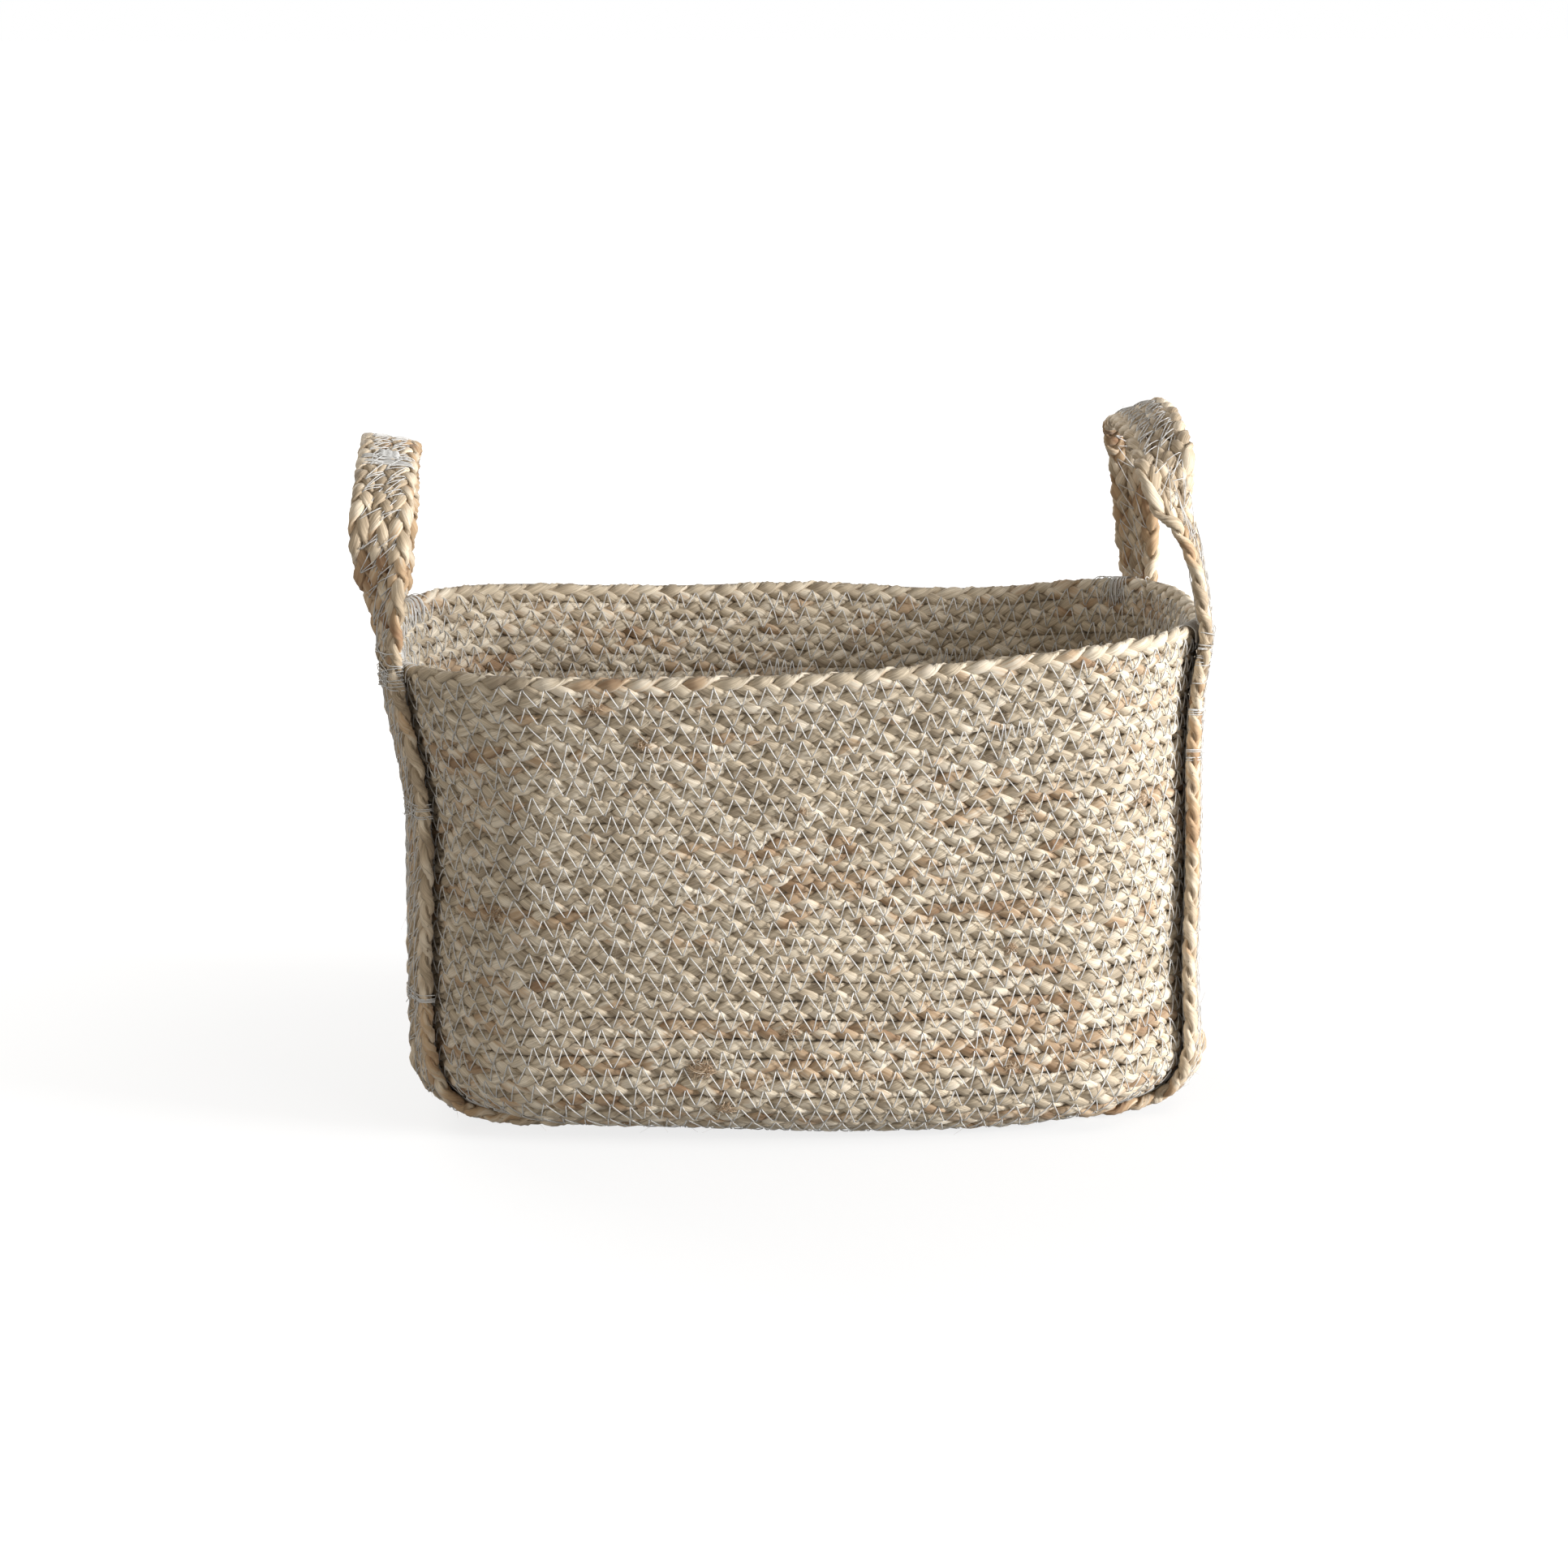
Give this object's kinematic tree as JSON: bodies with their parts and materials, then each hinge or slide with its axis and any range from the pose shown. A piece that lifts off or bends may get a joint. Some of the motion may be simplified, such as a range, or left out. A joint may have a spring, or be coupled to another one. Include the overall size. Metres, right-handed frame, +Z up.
{
  "type": "storage basket",
  "caption": "Open oval storage basket sewn from rows of braided plant fibre, held by two braided straps that run under the base and rise into a carrying handle at each end.",
  "frame": {"origin": "middle of the underside, on the surface that the basket stands on", "axes": "+X along the basket's length, towards one handle; +Y across it, towards the rear strap; +Z up"},
  "size_m": [0.3952, 0.2514, 0.3113],
  "materials": {
    "body_braid": "matt undyed plant fibre, cream and grey-beige with some tan strands",
    "strap_braid": "matt undyed plant fibre, warm tan",
    "thread": "smooth silver-grey sewing thread"
  },
  "bodies": {
    "basket": {"base_turn_01": "body_braid", "base_turn_02": "body_braid", "base_turn_03": "body_braid", "base_turn_04": "body_braid", "base_turn_05": "body_braid", "base_turn_06": "body_braid", "base_turn_07": "body_braid", "base_turn_08": "body_braid", "base_turn_09": "body_braid", "base_turn_10": "body_braid", "base_turn_11": "body_braid", "edge_row_01": "body_braid", "edge_row_02": "body_braid", "edge_row_03": "body_braid", "edge_row_04": "body_braid", "edge_row_05": "body_braid", "wall_row_01": "body_braid", "wall_row_02": "body_braid", "wall_row_03": "body_braid", "wall_row_04": "body_braid", "wall_row_05": "body_braid", "wall_row_06": "body_braid", "wall_row_07": "body_braid", "wall_row_08": "body_braid", "wall_row_09": "body_braid", "wall_row_10": "body_braid", "wall_row_11": "body_braid", "wall_row_12": "body_braid", "wall_row_13": "body_braid", "wall_row_14": "body_braid", "wall_row_15": "body_braid", "wall_row_16": "body_braid", "wall_row_17": "body_braid", "wall_row_18": "body_braid", "wall_row_19": "body_braid", "wall_row_20": "body_braid", "wall_row_21": "body_braid", "rim_braid": "body_braid", "front_strap_inner_braid": "strap_braid", "front_strap_middle_braid": "strap_braid", "front_strap_outer_braid": "strap_braid", "rear_strap_inner_braid": "strap_braid", "rear_strap_middle_braid": "strap_braid", "rear_strap_outer_braid": "strap_braid", "rim_tack_threads": "thread", "strap_tie_threads": "thread"},
    "left_handle": {"left_handle_inner_braid": "strap_braid", "left_handle_middle_braid": "strap_braid", "left_handle_outer_braid": "strap_braid"},
    "right_handle": {"right_handle_inner_braid": "strap_braid", "right_handle_middle_braid": "strap_braid", "right_handle_outer_braid": "strap_braid"}
  },
  "joints": [
    {"name": "left_handle_flop", "type": "hinge", "parent": "basket", "child": "left_handle", "pos_m": [-0.18907, 0, 0.22075], "axis": [0, 1, 0], "range_deg": [-120, 90]},
    {"name": "right_handle_flop", "type": "hinge", "parent": "basket", "child": "right_handle", "pos_m": [0.18907, 0, 0.22075], "axis": [0, 1, 0], "range_deg": [-72, 136]}
  ]
}
